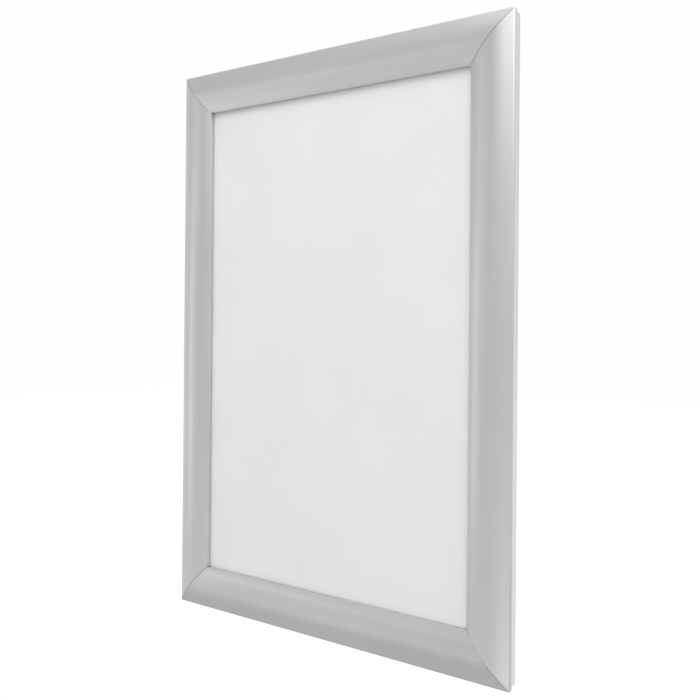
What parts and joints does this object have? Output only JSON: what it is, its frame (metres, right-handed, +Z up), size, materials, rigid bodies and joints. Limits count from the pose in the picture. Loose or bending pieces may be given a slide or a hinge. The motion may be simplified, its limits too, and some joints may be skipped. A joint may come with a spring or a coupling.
{
  "type": "poster frame",
  "caption": "Wall-hung snap frame for a poster: mitred aluminium rails hinge open on sprung base rails, over a clear cover sheet, a blank poster and a back panel.",
  "frame": {"origin": "middle of the top base rail's back face, on the wall", "axes": "+Z up along the frame's height, +Y into the wall, -Y the way the poster faces, +X to the right seen from the front"},
  "size_m": [0.241, 0.0113, 0.328],
  "materials": {
    "anodised_aluminium": "satin silver anodised, fine lines along the rail",
    "mill_aluminium": "plain extruded",
    "spring_steel": "bare spring steel",
    "zinc_plated_steel": "zinc plated",
    "black_steel": "blackened",
    "white_polystyrene": "matt white sheet",
    "white_paper": "plain white, unprinted",
    "clear_film": "clear anti-glare sheet"
  },
  "bodies": {
    "base_frame": {"base_rail_top": "mill_aluminium", "base_rail_bottom": "mill_aluminium", "base_rail_left": "mill_aluminium", "base_rail_right": "mill_aluminium", "corner_key_top_left": "zinc_plated_steel", "corner_key_top_right": "zinc_plated_steel", "corner_key_bottom_left": "zinc_plated_steel", "corner_key_bottom_right": "zinc_plated_steel", "grub_screw_top_left_a1": "black_steel", "grub_screw_top_left_a2": "black_steel", "grub_screw_top_left_b1": "black_steel", "grub_screw_top_left_b2": "black_steel", "grub_screw_top_right_a1": "black_steel", "grub_screw_top_right_a2": "black_steel", "grub_screw_top_right_b1": "black_steel", "grub_screw_top_right_b2": "black_steel", "grub_screw_bottom_left_a1": "black_steel", "grub_screw_bottom_left_a2": "black_steel", "grub_screw_bottom_left_b1": "black_steel", "grub_screw_bottom_left_b2": "black_steel", "grub_screw_bottom_right_a1": "black_steel", "grub_screw_bottom_right_a2": "black_steel", "grub_screw_bottom_right_b1": "black_steel", "grub_screw_bottom_right_b2": "black_steel", "back_panel": "white_polystyrene", "poster_sheet": "white_paper", "clear_cover_sheet": "clear_film"},
    "rail_top": {"snap_rail_top": "anodised_aluminium"},
    "leaves_top": {"spring_top_left": "spring_steel", "spring_top_right": "spring_steel"},
    "rail_bottom": {"snap_rail_bottom": "anodised_aluminium"},
    "leaves_bottom": {"spring_bottom_left": "spring_steel", "spring_bottom_right": "spring_steel"},
    "rail_left": {"snap_rail_left": "anodised_aluminium"},
    "leaves_left": {"spring_left_upper": "spring_steel", "spring_left_lower": "spring_steel"},
    "rail_right": {"snap_rail_right": "anodised_aluminium"},
    "leaves_right": {"spring_right_upper": "spring_steel", "spring_right_lower": "spring_steel"}
  },
  "joints": [
    {"name": "open_top", "type": "hinge", "parent": "base_frame", "child": "rail_top", "pos_m": [0, -0.00597, 0.00502], "axis": [-1, 0, 0], "range_deg": [0, 80], "deforming": ["spring_top_left", "spring_top_right"]},
    {"name": "open_bottom", "type": "hinge", "parent": "base_frame", "child": "rail_bottom", "pos_m": [0, -0.00597, -0.31884], "axis": [1, 0, 0], "range_deg": [0, 80], "deforming": ["spring_bottom_left", "spring_bottom_right"]},
    {"name": "open_left", "type": "hinge", "parent": "base_frame", "child": "rail_left", "pos_m": [-0.11843, -0.00597, -0.15691], "axis": [0, 0, -1], "range_deg": [0, 80], "deforming": ["spring_left_upper", "spring_left_lower"]},
    {"name": "open_right", "type": "hinge", "parent": "base_frame", "child": "rail_right", "pos_m": [0.11843, -0.00597, -0.15691], "axis": [0, 0, 1], "range_deg": [0, 80], "deforming": ["spring_right_upper", "spring_right_lower"]},
    {"name": "leaf_swing_top", "type": "hinge", "parent": "base_frame", "child": "leaves_top", "pos_m": [0, -0.00498, -0.00441], "axis": [-1, 0, 0], "range_deg": [-28.18, 0]},
    {"name": "leaf_swing_bottom", "type": "hinge", "parent": "base_frame", "child": "leaves_bottom", "pos_m": [0, -0.00498, -0.30941], "axis": [1, 0, 0], "range_deg": [-28.18, 0]},
    {"name": "leaf_swing_left", "type": "hinge", "parent": "base_frame", "child": "leaves_left", "pos_m": [-0.109, -0.00498, -0.15691], "axis": [0, 0, -1], "range_deg": [-28.18, 0]},
    {"name": "leaf_swing_right", "type": "hinge", "parent": "base_frame", "child": "leaves_right", "pos_m": [0.109, -0.00498, -0.15691], "axis": [0, 0, 1], "range_deg": [-28.18, 0]}
  ],
  "couplings": [
    {"joint": "leaf_swing_top", "follows": "open_top", "ratio": -0.35225},
    {"joint": "leaf_swing_bottom", "follows": "open_bottom", "ratio": -0.35225},
    {"joint": "leaf_swing_left", "follows": "open_left", "ratio": -0.35225},
    {"joint": "leaf_swing_right", "follows": "open_right", "ratio": -0.35225}
  ]
}
